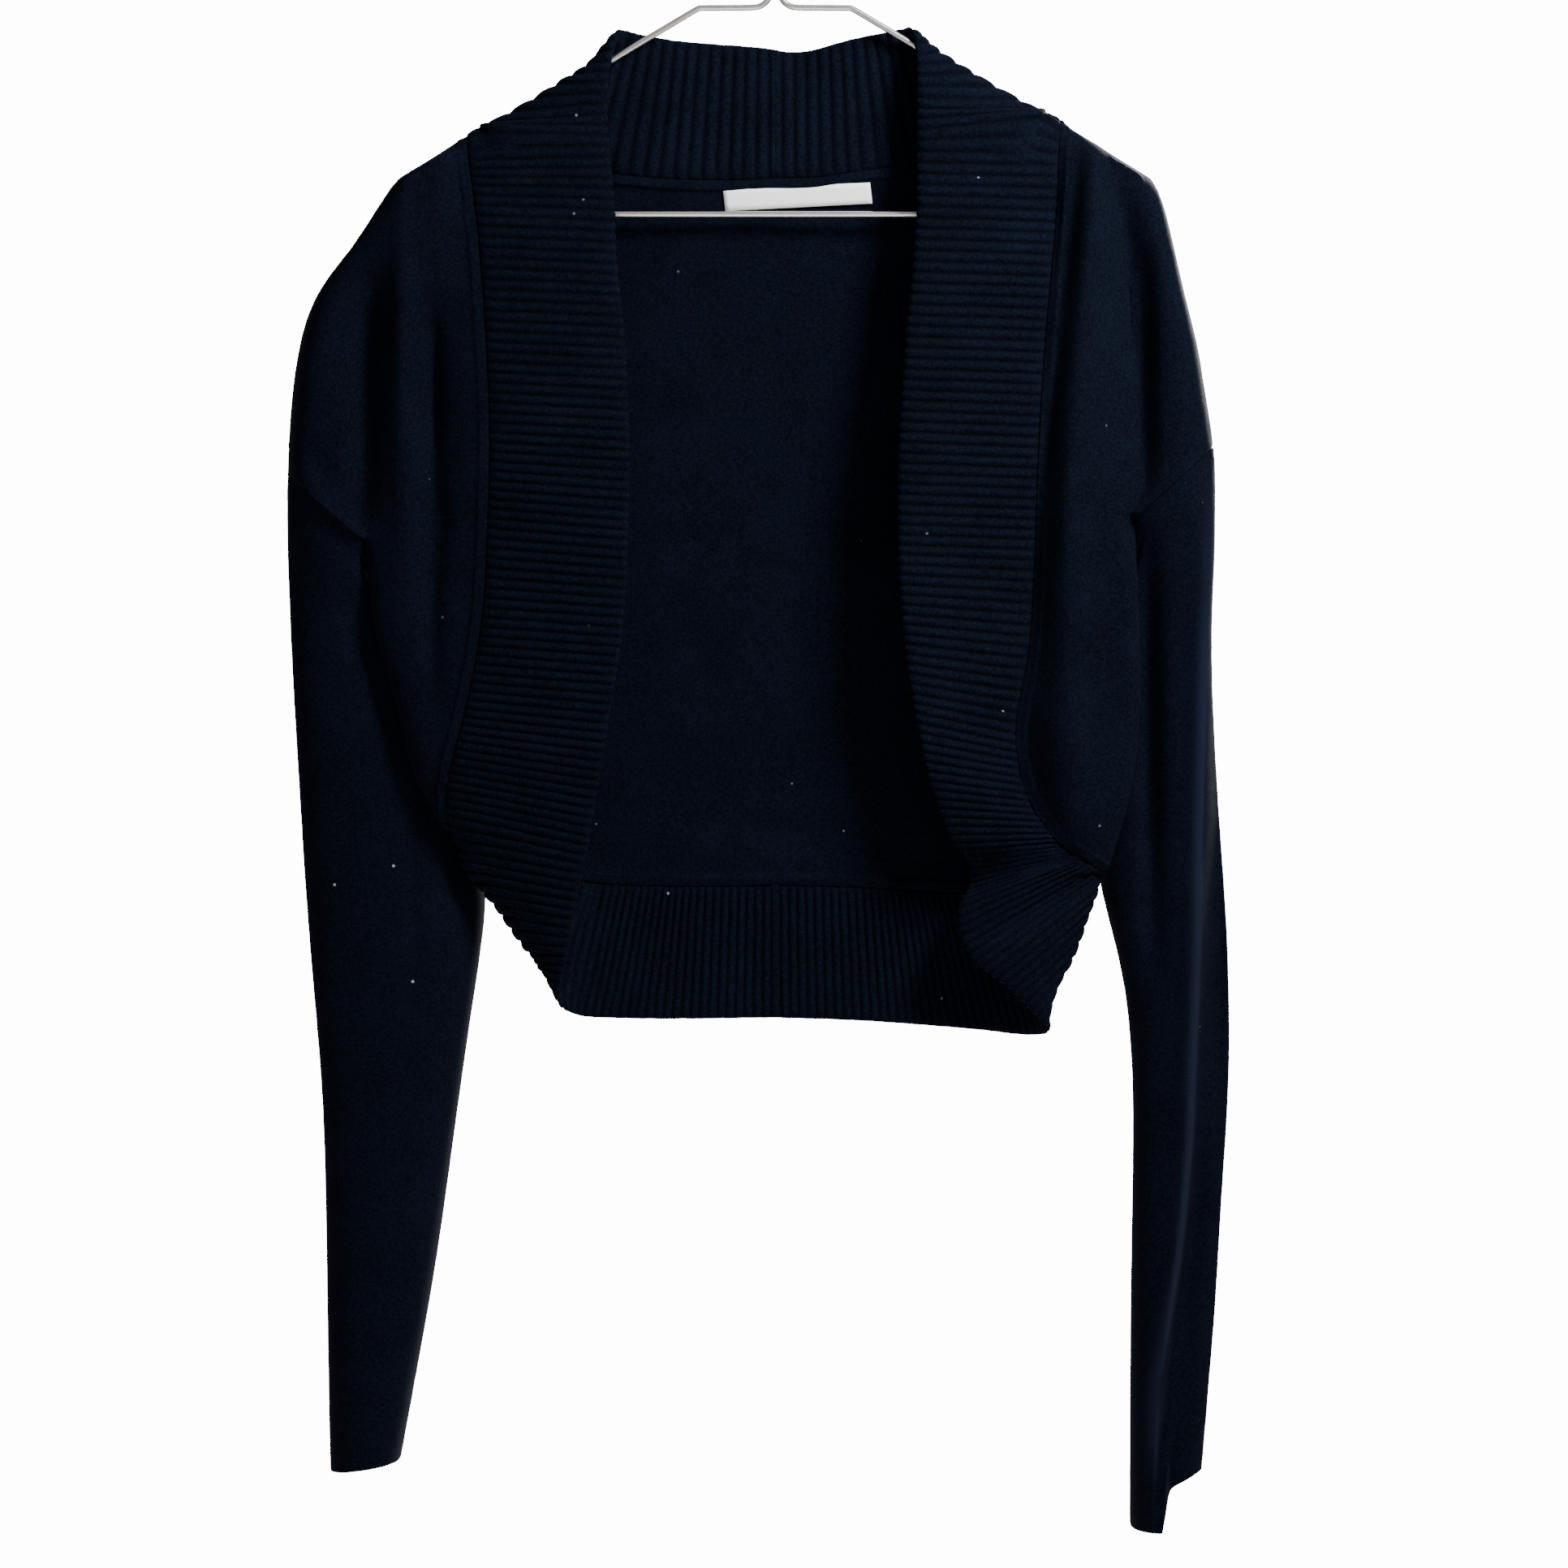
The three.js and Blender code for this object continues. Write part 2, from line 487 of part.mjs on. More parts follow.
function frontPanel({ strip, edge, columns, folds, outward, panelY }) {
  const seam = seamLine(strip).filter(({ at }) => at.y < 0 && at.z > -500);
  const points = edge.map(({ seamHeight, front }, i) => {
    const room = seamHeight < CORNER_TOP ? CURVE_ROOM + CORNER_ROOM : CURVE_ROOM;
    const start = onSeam(seam, 'z', seamHeight, room);
    const width = start.point.distanceTo(front);
    const roomy = THREE.MathUtils.clamp((width - NARROW_PANEL) / NARROW_PANEL, 0, 1);
    return columns.map((u) => {
      if (u === 0) return start.point;
      if (u === 1) return front.clone();
      const p = start.point.clone().lerp(front, u);
      if (i === 0) {
        p.z = ridgeHeight(p.x);
        return p;
      }
      const settle = ease(u * 3);
      const full = mix(start.point.y, Math.max(panelY, start.point.y - 10 * i), settle);
      const turn = roundOff((1 - u) * width, EDGE_TURN);
      const deep = mix(front.y, full, turn) + foldDepth(folds, p.x, p.z) * turn;
      p.y = mix(p.y, deep, roomy);
      return p;
    });
  });
  const normals = gridNormals(points, false, outward);
  edge.forEach(({ seamHeight, normal, frontNormal }, i) => {
    const first = onSeam(seam, 'z', seamHeight).normal;
    const last = frontNormal ?? normal;
    if (points[i][0].distanceTo(points[i].at(-1)) < NARROW_PANEL) {
      normals[i] = columns.map((u) => first.clone().lerp(last, u).normalize());
    }
    normals[i][0] = first;
    normals[i][columns.length - 1] = last;
  });
  for (let j = 1; j < columns.length; j += 1) normals[0][j] = point(0, 0, 1);
  return { points, normals };
}

const SIDE_SPANS = 5;             // columns of the back between its edge and the neck
const MIDDLE_SPANS = 14;          // columns of the back across the neck
const HEM_INNER = [-128, 132];    // where the middle columns end at the hem
const HEM_DRAW = 0.5;             // how far the hem's outer columns are drawn in past its ends
// columns: share of the way from the neck seam to the hem, depth of the back there
const BACK_DEPTHS = [[0, 6.5], [0.06, 9], [0.2, 13], [0.45, 16.5], [0.75, 17], [1, 15.5]];

function backDepth(share) {
  const k = BACK_DEPTHS.findIndex(([at]) => at >= share);
  if (k <= 0) return BACK_DEPTHS[0][1];
  const [fromShare, fromDepth] = BACK_DEPTHS[k - 1];
  const [toShare, toDepth] = BACK_DEPTHS[k];
  return mix(fromDepth, toDepth, ease((share - fromShare) / (toShare - fromShare)));
}

function backPanel(edgeLeft, edgeRight, stripLeft, stripRight) {
  const whole = [...seamLine(stripLeft).reverse(), ...seamLine(stripRight)];
  const neck = whole.filter(({ at }) => at.y > SEAM_GAP && at.z > -200);
  const byX = (list) => list.sort((a, b) => a.at.x - b.at.x);
  const hem = byX(whole.filter(({ at }) => at.y > SIDE_Y && at.z < -470));
  byX(neck);
  const lastRow = edgeLeft.length - 1;
  const neckEnds = [neck[0].at.x, neck.at(-1).at.x];
  const hemEnds = [hem[1].at.x, hem.at(-2).at.x];
  const columns = 2 * SIDE_SPANS + MIDDLE_SPANS;
  const sideShare = [0, 0.035, 0.12, 0.32, 0.62, 1];
  const points = [];
  const normals = [];
  for (let i = 0; i <= lastRow; i += 1) {
    const left = edgeLeft[i];
    const right = edgeRight[i];
    const span = (rows) => {
      const fallen = rows[i].seamHeight - rows[0].seamHeight;
      return fallen / (rows[lastRow].seamHeight - rows[0].seamHeight);
    };
    const share = (span(edgeLeft) + span(edgeRight)) / 2;
    const innerX = [0, 1].map((k) => mix(neckEnds[k], HEM_INNER[k], share));
    const row = [];
    for (let j = 0; j <= columns; j += 1) {
      const fromLeft = j < SIDE_SPANS;
      const fromRight = j > columns - SIDE_SPANS;
      const even = (j - SIDE_SPANS) / MIDDLE_SPANS;
      let x = mix(innerX[0], innerX[1], (1 - Math.cos(Math.PI * even)) / 2);
      if (fromLeft) x = mix(left.back.x, innerX[0], sideShare[j]);
      if (fromRight) x = mix(right.back.x, innerX[1], sideShare[columns - j]);
      const neckX = THREE.MathUtils.clamp(x, neckEnds[0], neckEnds[1]);
      const top = onSeam(neck, 'x', neckX).point;
      const hemX = THREE.MathUtils.clamp(x, hemEnds[0], hemEnds[1]);
      const foot = onSeam(hem, 'x', hemX).point;
      const p = point(x, 0, mix(top.z, foot.z, share));
      p.y = backDepth(share);
      if (fromLeft || fromRight) {
        const k = fromLeft ? j : columns - j;
        const edge = fromLeft ? left.back : right.back;
        const round = roundOff(Math.abs(p.x - edge.x), EDGE_TURN);
        const slow = ease(sideShare[k]) ** 0.8;
        const lip = SIDE_LIP * Math.min(1, sideShare[k] / sideShare[1]) * (1 - slow);
        const underArm = THREE.MathUtils.clamp((i - ROWS_OVER_SHOULDER) / ARMHOLE_STEPS, 0, 1);
        p.y = mix(edge.y, backDepth(share), mix(round, slow, underArm)) + lip * underArm;
        p.z = mix(edge.z, p.z, sideShare[k]);
      }
      row.push(p);
    }
    row[0] = left.back.clone();
    row[columns] = right.back.clone();
    points.push(row);
  }
  // the first row lies on the shoulders and along the collar's seam, the last on the hem's seam
  const setNormals = [];
  for (let j = 0; j <= columns; j += 1) {
    const p = points[0][j];
    if (j >= SIDE_SPANS && j <= columns - SIDE_SPANS) {
      const place = onSeam(neck, 'x', p.x);
      points[0][j] = place.point;
      setNormals.push([0, j, place.normal]);
    } else {
      points[0][j] = point(p.x, SEAM_GAP / 2, ridgeHeight(p.x));
      setNormals.push([0, j, point(0, 0, 1)]);
    }
    if (j > 0 && j < columns) {
      const inSide = j < SIDE_SPANS || j > columns - SIDE_SPANS;
      const away = inSide ? 1 - sideShare[Math.min(j, columns - j)] : 0;
      const hemX = THREE.MathUtils.clamp(points[lastRow][j].x, hemEnds[0], hemEnds[1]);
      const place = onSeam(hem, 'x', hemX, CURVE_ROOM + HEM_CORNER_ROOM * away ** 4);
      place.point.x -= (hemX - points[lastRow][j].x) * HEM_DRAW;
      points[lastRow][j] = place.point;
      setNormals.push([lastRow, j, place.normal]);
    }
  }
  normals.push(...gridNormals(points, false, -1));
  setNormals.forEach(([i, j, normal]) => { normals[i][j] = normal; });
  edgeLeft.forEach((edge, i) => { normals[i][0] = edge.backNormal ?? edge.normal; });
  edgeRight.forEach((edge, i) => { normals[i][columns] = edge.backNormal ?? edge.normal; });
  return { points, normals };
}

// ---- label and hanger ----

function labelGeometry(backMesh) {
  const ray = new THREE.Raycaster();
  const spans = 8;
  const [upperLeft, upperRight, lowerRight, lowerLeft] = LABEL_CORNERS;
  const onBack = (x, z) => {
    ray.set(point(x, -100, z), point(0, 1, 0));
    return point(x, ray.intersectObject(backMesh)[0].point.y - SEAM_GAP - LABEL_THICKNESS / 2, z);
  };
  const points = Array.from({ length: spans + 1 }, (_, k) => {
    const t = k / spans;
    return [[upperLeft, upperRight], [lowerLeft, lowerRight]].map(([a, b]) => (
      onBack(mix(a[0], b[0], t), mix(a[1], b[1], t))));
  });
  const normals = points.map((row) => row.map(() => point(0, -1, 0)));
  return wallGeometry(points, normals, { thickness: LABEL_THICKNESS });
}

// A route in the XZ plane through corners rounded to their radii.
function roundedRoute(corners) {
  const route = [];
  corners.forEach(([x, z, radius], k) => {
    const here = point(x, 0, z);
    if (radius === 0) {
      route.push(here);
      return;
    }
    const back = point(corners[k - 1][0], 0, corners[k - 1][1]).sub(here).normalize();
    const on = point(corners[k + 1][0], 0, corners[k + 1][1]).sub(here).normalize();
    const half = back.angleTo(on) / 2;
    const reach = radius / Math.tan(half);
    const centre = here.clone().addScaledVector(back.clone().add(on).normalize(), radius / Math.sin(half));
    const start = here.clone().addScaledVector(back, reach).sub(centre);
    const turn = Math.PI - 2 * half;
    const steps = Math.max(2, Math.ceil(turn / 0.35));
    const axis = start.clone().cross(here.clone().addScaledVector(on, reach).sub(centre)).normalize();
    for (let s = 0; s <= steps; s += 1) {
      route.push(start.clone().applyAxisAngle(axis, (turn * s) / steps).add(centre));
    }
  });
  return route;
}

function hookArc() {
  const radius = HOOK_INNER_RADIUS + WIRE_RADIUS;
  const steps = 16;
  return Array.from({ length: steps + 1 }, (_, k) => {
    const angle = THREE.MathUtils.degToRad(mix(-50, 200, k / steps));
    return point(radius * Math.cos(angle), 0, -HOOK_INNER_RADIUS + radius * Math.sin(angle));
  });
}

function hangerGeometry() {
  const cornerX = FRAME_NECK + (FRAME_TOP - BAR_HEIGHT) / ARM_SLOPE;
  const arc = hookArc();
  const route = roundedRoute([
    [-STEM_OFFSET, -50, 0],
    [-STEM_OFFSET, FRAME_TOP, 9],
    [-FRAME_NECK, FRAME_TOP, 6],
    [-cornerX, BAR_HEIGHT, TIP_RADIUS],
    [cornerX, BAR_HEIGHT, TIP_RADIUS],
    [FRAME_NECK, FRAME_TOP, 6],
    [STEM_OFFSET, FRAME_TOP, 9],
    [STEM_OFFSET, -46, 6],
    [arc[0].x, arc[0].z, 0],
  ]);
  route.push(...arc.slice(1));
  const positions = [];
  const faces = [];
  route.forEach((p, i) => {
    const ahead = route[Math.min(i + 1, route.length - 1)];
    const behind = route[Math.max(i - 1, 0)];
    const along = ahead.clone().sub(behind).normalize();
    const sideways = point(0, 1, 0);
    const up = along.clone().cross(sideways);
    for (let s = 0; s < WIRE_SIDES; s += 1) {
      const angle = ((s + 0.5) / WIRE_SIDES) * 2 * Math.PI;
      const q = p.clone()
        .addScaledVector(sideways, WIRE_RADIUS * Math.cos(angle))
        .addScaledVector(up, WIRE_RADIUS * Math.sin(angle));
      positions.push(q.x, q.y, q.z);
    }
  });
  const ring = (i, s) => i * WIRE_SIDES + (s % WIRE_SIDES);
  for (let i = 0; i + 1 < route.length; i += 1) {
    for (let s = 0; s < WIRE_SIDES; s += 1) {
      faces.push(ring(i, s), ring(i + 1, s), ring(i + 1, s + 1));
      faces.push(ring(i, s), ring(i + 1, s + 1), ring(i, s + 1));
    }
  }
  for (let s = 1; s + 1 < WIRE_SIDES; s += 1) {
    faces.push(ring(0, 0), ring(0, s), ring(0, s + 1));
    faces.push(ring(route.length - 1, 0), ring(route.length - 1, s + 1), ring(route.length - 1, s));
  }
  return closedGeometry(positions, faces);
}

// ---- the cardigan ----

function cardigan() {
  const group = new THREE.Group();
  const add = (name, geometry, material) => {
    const mesh = new THREE.Mesh(geometry, material);
    mesh.name = name;
    group.add(mesh);
    return mesh;
  };
  const jersey = { thickness: JERSEY };
  const stripLeft = bandStrip(BAND_LEFT_ROWS, -1);
  const stripRight = bandStrip(BAND_RIGHT_ROWS, 1);
  const sleeveLeft = sleeveGrid(SLEEVE_LEFT_ROWS, 1);
  const sleeveRight = sleeveGrid(SLEEVE_RIGHT_ROWS, -1);
  const edgeLeft = bodyEdge(SHOULDER_EDGE_LEFT, SIDE_EDGE_LEFT, sleeveLeft, -1);
  const edgeRight = bodyEdge(SHOULDER_EDGE_RIGHT, SIDE_EDGE_RIGHT, sleeveRight, 1);
  const frontLeft = frontPanel({
    strip: stripLeft, edge: edgeLeft, columns: LEFT_COLUMNS, folds: LEFT_FOLDS, outward: -1, panelY: -17,
  });
  const frontRight = frontPanel({
    strip: stripRight, edge: edgeRight, columns: RIGHT_COLUMNS, folds: RIGHT_FOLDS, outward: 1, panelY: -16,
  });
  const back = backPanel(edgeLeft, edgeRight, stripLeft, stripRight);

  add('hanger', hangerGeometry(), PALE_STEEL);
  add('band_left', bandGeometry(stripLeft), NAVY_RIB);
  add('band_right', bandGeometry(stripRight), NAVY_RIB);
  add('front_panel_left', wallGeometry(frontLeft.points, frontLeft.normals, jersey), NAVY);
  add('front_panel_right', wallGeometry(frontRight.points, frontRight.normals, jersey), NAVY);
  const backMesh = add('back_panel', wallGeometry(back.points, back.normals, jersey), NAVY);
  add('sleeve_left', wallGeometry(sleeveLeft.points, sleeveLeft.normals, { ...jersey, tube: true }), NAVY);
  add('sleeve_right', wallGeometry(sleeveRight.points, sleeveRight.normals, { ...jersey, tube: true }), NAVY);
  add('neck_label', labelGeometry(backMesh), WHITE_TAPE);
  return group;
}

export default cardigan();
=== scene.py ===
import math

import bmesh
import bpy
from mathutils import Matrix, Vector, noise
from mathutils.bvhtree import BVHTree


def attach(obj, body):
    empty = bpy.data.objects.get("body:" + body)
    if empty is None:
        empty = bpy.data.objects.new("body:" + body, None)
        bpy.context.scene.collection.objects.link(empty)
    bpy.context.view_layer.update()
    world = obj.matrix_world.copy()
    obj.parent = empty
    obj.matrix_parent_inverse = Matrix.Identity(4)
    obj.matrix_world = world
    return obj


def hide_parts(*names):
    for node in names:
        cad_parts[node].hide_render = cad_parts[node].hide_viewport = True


# A navy cashmere cardigan on a wire hanger. Metres, +Z up, the front faces -Y.
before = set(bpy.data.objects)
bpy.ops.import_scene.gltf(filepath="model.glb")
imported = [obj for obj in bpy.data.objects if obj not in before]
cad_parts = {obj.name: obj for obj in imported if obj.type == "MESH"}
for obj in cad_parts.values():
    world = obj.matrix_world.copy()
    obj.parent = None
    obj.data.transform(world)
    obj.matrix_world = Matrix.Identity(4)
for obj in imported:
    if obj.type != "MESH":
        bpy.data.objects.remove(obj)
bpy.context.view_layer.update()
mm = 0.001
scene = bpy.context.scene
print("frame loaded:", ", ".join(sorted(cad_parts)))

# What holds for every piece of cloth and its seams, in millimetres.
cloth = {
    "weld": 0.01,              # points this close together are one
    "quadAngle": 70,           # degrees that two triangles of one quad may be folded
    "creaseFade": 0.7,         # below 1 a crease keeps its depth for longer towards its ends
    "measured": 14.0,          # how far from a seam its distance is still written
    "drawGap": 1.2,            # an edge this close to its neighbour is drawn all the way over
    "drawReach": 4,            # beyond this it is left alone
    "overlap": 0.15,           # how far a drawn edge goes into its neighbour
    "beadInset": 3.6,          # the linked seam's low bead lies this far in from the edge
    "beadWidth": 1.6,
    "pinned": 1,               # creases start this far from a seam
    "sleevePinned": 14,        # and grow to full depth over this width beside an armhole
}


def ease(t):
    t = min(max(t, 0.0), 1.0)
    return t * t * (3 - 2 * t)


# A merged, quad-faced copy of a CAD node's mesh.
def copyOfNode(nodeName):
    bm = bmesh.new()
    bm.from_mesh(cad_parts[nodeName].data)
    bmesh.ops.remove_doubles(bm, verts=bm.verts, dist=cloth["weld"] * mm)
    folded = math.radians(cloth["quadAngle"])
    bmesh.ops.join_triangles(bm, faces=bm.faces, angle_face_threshold=folded, angle_shape_threshold=math.pi)
    return bm


# The nearest-point tree of a CAD node.
def treeOfNode(nodeName):
    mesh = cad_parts[nodeName].data
    return BVHTree.FromPolygons([v.co for v in mesh.vertices], [tuple(p.vertices) for p in mesh.polygons])


def newPiece(bm, pieceName):
    mesh = bpy.data.meshes.new(pieceName)
    bm.to_mesh(mesh)
    bm.free()
    mesh.polygons.foreach_set("use_smooth", [True] * len(mesh.polygons))
    piece = bpy.data.objects.new(pieceName, mesh)
    scene.collection.objects.link(piece)
    return piece


# Holds the rims of a cloth wall through the subdivision.
def creaseRims(bm, sharpness, angle=math.radians(62)):
    layer = bm.edges.layers.float.get("crease_edge") or bm.edges.layers.float.new("crease_edge")
    for edge in bm.edges:
        if edge.is_manifold and edge.calc_face_angle(0) > angle:
            edge[layer] = sharpness


# Subdivides a bmesh smoothly and gives the finer one back.
def refined(bm, levels):
    piece = newPiece(bm, "draft")
    modifier = piece.modifiers.new("fine", "SUBSURF")
    modifier.levels = modifier.render_levels = levels
    modifier.boundary_smooth = "PRESERVE_CORNERS"
    graph = bpy.context.evaluated_depsgraph_get()
    finer = bmesh.new()
    mesh = bpy.data.meshes.new_from_object(piece.evaluated_get(graph))
    finer.from_mesh(mesh)
    draft = piece.data
    bpy.data.objects.remove(piece)
    bpy.data.meshes.remove(draft)
    bpy.data.meshes.remove(mesh)
    return finer


# Draws the cloth's edge over to the piece that it is sewn to.
def closeSeam(
    bm, tree, gap=cloth["drawGap"] * mm, reach=cloth["drawReach"] * mm, allowed=lambda p: True
):
    for vert in bm.verts:
        if not allowed(vert.co):
            continue
        place, _, _, distance = tree.find_nearest(vert.co, reach)
        if place is None or distance < 1e-9:
            continue
        pull = 1.0 if distance <= gap else 1 - ease((distance - gap) / (reach - gap))
        towards = (place - vert.co).normalized()
        vert.co += towards * (distance * pull + cloth["overlap"] * mm * pull)


# Writes how far each point is from the seams with the given nodes, in millimetres.
def measureSeams(bm, nodeNames, widest=cloth["measured"]):
    layer = bm.verts.layers.float.new("seam")
    for vert in bm.verts:
        nearest = widest
        for tree in [trees[name] for name in nodeNames]:
            found = tree.find_nearest(vert.co, widest * mm)
            if found[0] is not None:
                nearest = min(nearest, found[3] / mm)
        vert[layer] = nearest
    return layer


# Raises the linked seam as a low bead.
def raiseBead(bm, height):
    bm.normal_update()
    seam = bm.verts.layers.float["seam"]
    for vert in bm.verts:
        away = (vert[seam] - cloth["beadInset"]) / cloth["beadWidth"]
        vert.co = vert.co + vert.normal * (height * math.exp(-(away ** 2)) * mm)


# How freely each point of a mesh may move, from 0 where it is held to 1.
def freedom(bm, rule):
    bm.verts.index_update()
    return [rule(vert) for vert in bm.verts]


# From 0 on another piece to 1 at the given distance from it.
def farFrom(nodeName, place, reach):
    found = trees[nodeName].find_nearest(place, reach * mm)
    return 1.0 if found[0] is None else ease(found[3] / (reach * mm))


# Presses creases into a panel. Each is given as from x, z to x, z, width and depth in millimetres;
# a depth above 0 presses the cloth back and one below 0 brings it forwards.
def pressCreases(bm, creases, free):
    for vert in bm.verts:
        move = 0.0
        x, z = vert.co.x / mm, vert.co.z / mm
        for fromX, fromZ, toX, toZ, width, depth in creases:
            alongX, alongZ = toX - fromX, toZ - fromZ
            long = math.hypot(alongX, alongZ)
            t = ((x - fromX) * alongX + (z - fromZ) * alongZ) / long ** 2
            if t <= 0 or t >= 1:
                continue
            away = ((x - fromX) * alongZ - (z - fromZ) * alongX) / long
            fade = math.sin(math.pi * t) ** cloth["creaseFade"]
            move += depth * math.exp(-((away / width) ** 2)) * fade
        if move:
            vert.co.y += move * mm * free[vert.index]


# Gives the cloth the slight unevenness of soft knitting.
def soften(bm, settings, free=None):
    bm.normal_update()
    bm.verts.index_update()
    for vert in bm.verts:
        p = vert.co
        wide = noise.noise(Vector((p.x, p.z, settings["seed"])) / (settings["wideSize"] * mm))
        fine = noise.noise((p + Vector((settings["seed"], 0, 0))) / (settings["fineSize"] * mm))
        push = Vector((0, settings["wideDepth"] * wide * (free[vert.index] if free else 1), 0)) * mm
        vert.co = p + push + vert.normal * (settings["fineDepth"] * fine * mm)


trees = {name: treeOfNode(name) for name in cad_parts}


def addNode(material, kind, **values):
    node = material.node_tree.nodes.new(kind)
    for name, value in values.items():
        if hasattr(node, name):
            setattr(node, name, value)
        else:
            node.inputs[name.replace("_", " ")].default_value = value
    return node


def join(material, fromNode, output, toNode, socket):
    material.node_tree.links.new(fromNode.outputs[output], toNode.inputs[socket])


# Gives a socket its number or colour, or joins it to a (node, output) pair.
def give(material, node, socket, value):
    if isinstance(value, tuple) and isinstance(value[0], bpy.types.Node):
        join(material, *value, node, socket)
    else:
        node.inputs[socket].default_value = value


def calculate(material, operation, *values):
    node = addNode(material, "ShaderNodeMath", operation=operation)
    for socket, value in enumerate(values):
        give(material, node, socket, value)
    return node


def mapRange(material, source, fromRange, toRange):
    node = addNode(material, "ShaderNodeMapRange")
    for side, fromEnd, toEnd in zip(("Min", "Max"), fromRange, toRange):
        node.inputs["From " + side].default_value = fromEnd
        node.inputs["To " + side].default_value = toEnd
    give(material, node, "Value", source)
    return node


# Lays one colour over another. The sockets are the node's share and its two colours.
def layOver(material, mode, share, under, over):
    node = addNode(material, "ShaderNodeMix", data_type="RGBA", blend_type=mode)
    for socket, value in ((0, share), (6, under), (7, over)):
        give(material, node, socket, value)
    return node, 2


def colourRamp(material, source, stops):
    node = addNode(material, "ShaderNodeValToRGB")
    elements = node.color_ramp.elements
    while len(elements) < len(stops):
        elements.new(0.5)
    for element, (position, colour) in zip(elements, stops):
        element.position = position
        element.color = colour
    give(material, node, "Fac", source)
    return node


def bumpOf(material, height, strength, distance):
    node = addNode(material, "ShaderNodeBump", Strength=strength)
    node.inputs["Distance"].default_value = distance * mm
    give(material, node, "Height", height)
    return node


def setShader(shader, values):
    for name, value in values.items():
        shader.inputs[name].default_value = value


def blankMaterial(name):
    material = bpy.data.materials.new(name)
    material.use_nodes = True
    return material, material.node_tree.nodes["Principled BSDF"]


# The piece's own coordinates, for the textures.
def placeIn(material):
    return addNode(material, "ShaderNodeTexCoord"), "Object"


# Sizes are in millimetres.
cashmere = {
    "dark": (0.0002, 0.0009, 0.0028, 1),
    "darkAt": 0.37,
    "light": (0.0018, 0.0033, 0.0090, 1),
    "lightAt": 0.65,
    # the painted highlight along a fold's edge
    "foldHighlight": (0.0056, 0.0078, 0.0180, 1),
    "heatherSize": 1.3,
    "heatherShare": 0.76,
    "patchSize": 26.0,
    "patchShare": 0.24,
    "lint": (0.45, 0.5, 0.55, 1),
    "lintSpacing": 25.0,
    "lintSize": 0.036,         # as a share of the spacing
    "lintCore": 0.4,           # the full-strength part of a spot
    "lintFaintest": 0.2,       # the spots below this strength are left out
    "napSize": 0.8,
    "napDepth": 0.35,
    "reliefDistance": 0.5,
    "waleSize": 1.25,
    "waleWander": 1.2,
    "shader": {
        "Roughness": 0.92,
        "Specular IOR Level": 0.04,
        "Sheen Weight": 0.02,
        "Sheen Roughness": 0.45,
        "Sheen Tint": (0.11, 0.15, 0.24, 1),
    },
}
# A rib's colour carries painted shade in its valley and a painted highlight on its crest, and the jersey's
# tone runs from its dark seam line to the plain cloth.
ribbedLook = {
    "tone": "rib",
    "toneEnds": (0.0, 1.0),
    # painted shade in the rib valleys and a painted highlight on the crests
    "tones": (0.56, 1.15),
    "wales": "Z",
    "waleDepth": 0.12,
    "nap": 1.6,
}
plainLook = {
    "tone": "seam",
    "toneEnds": (0.0, 1.4),
    "tones": (0.45, 1.0),
    "wales": "X",
    "waleDepth": 0.16,
    "nap": 1,
}
# The linked stitches beside a seam: distance as a share of the measured width, and height.
linkedStitches = {
    "profile": [(0.0, 0.0), (0.1, 0.9), (0.22, 0.5), (0.31, 1.0), (0.42, 0.45), (1.0, 0.45)],
    "strength": 0.6,
    "distance": 0.8,
}
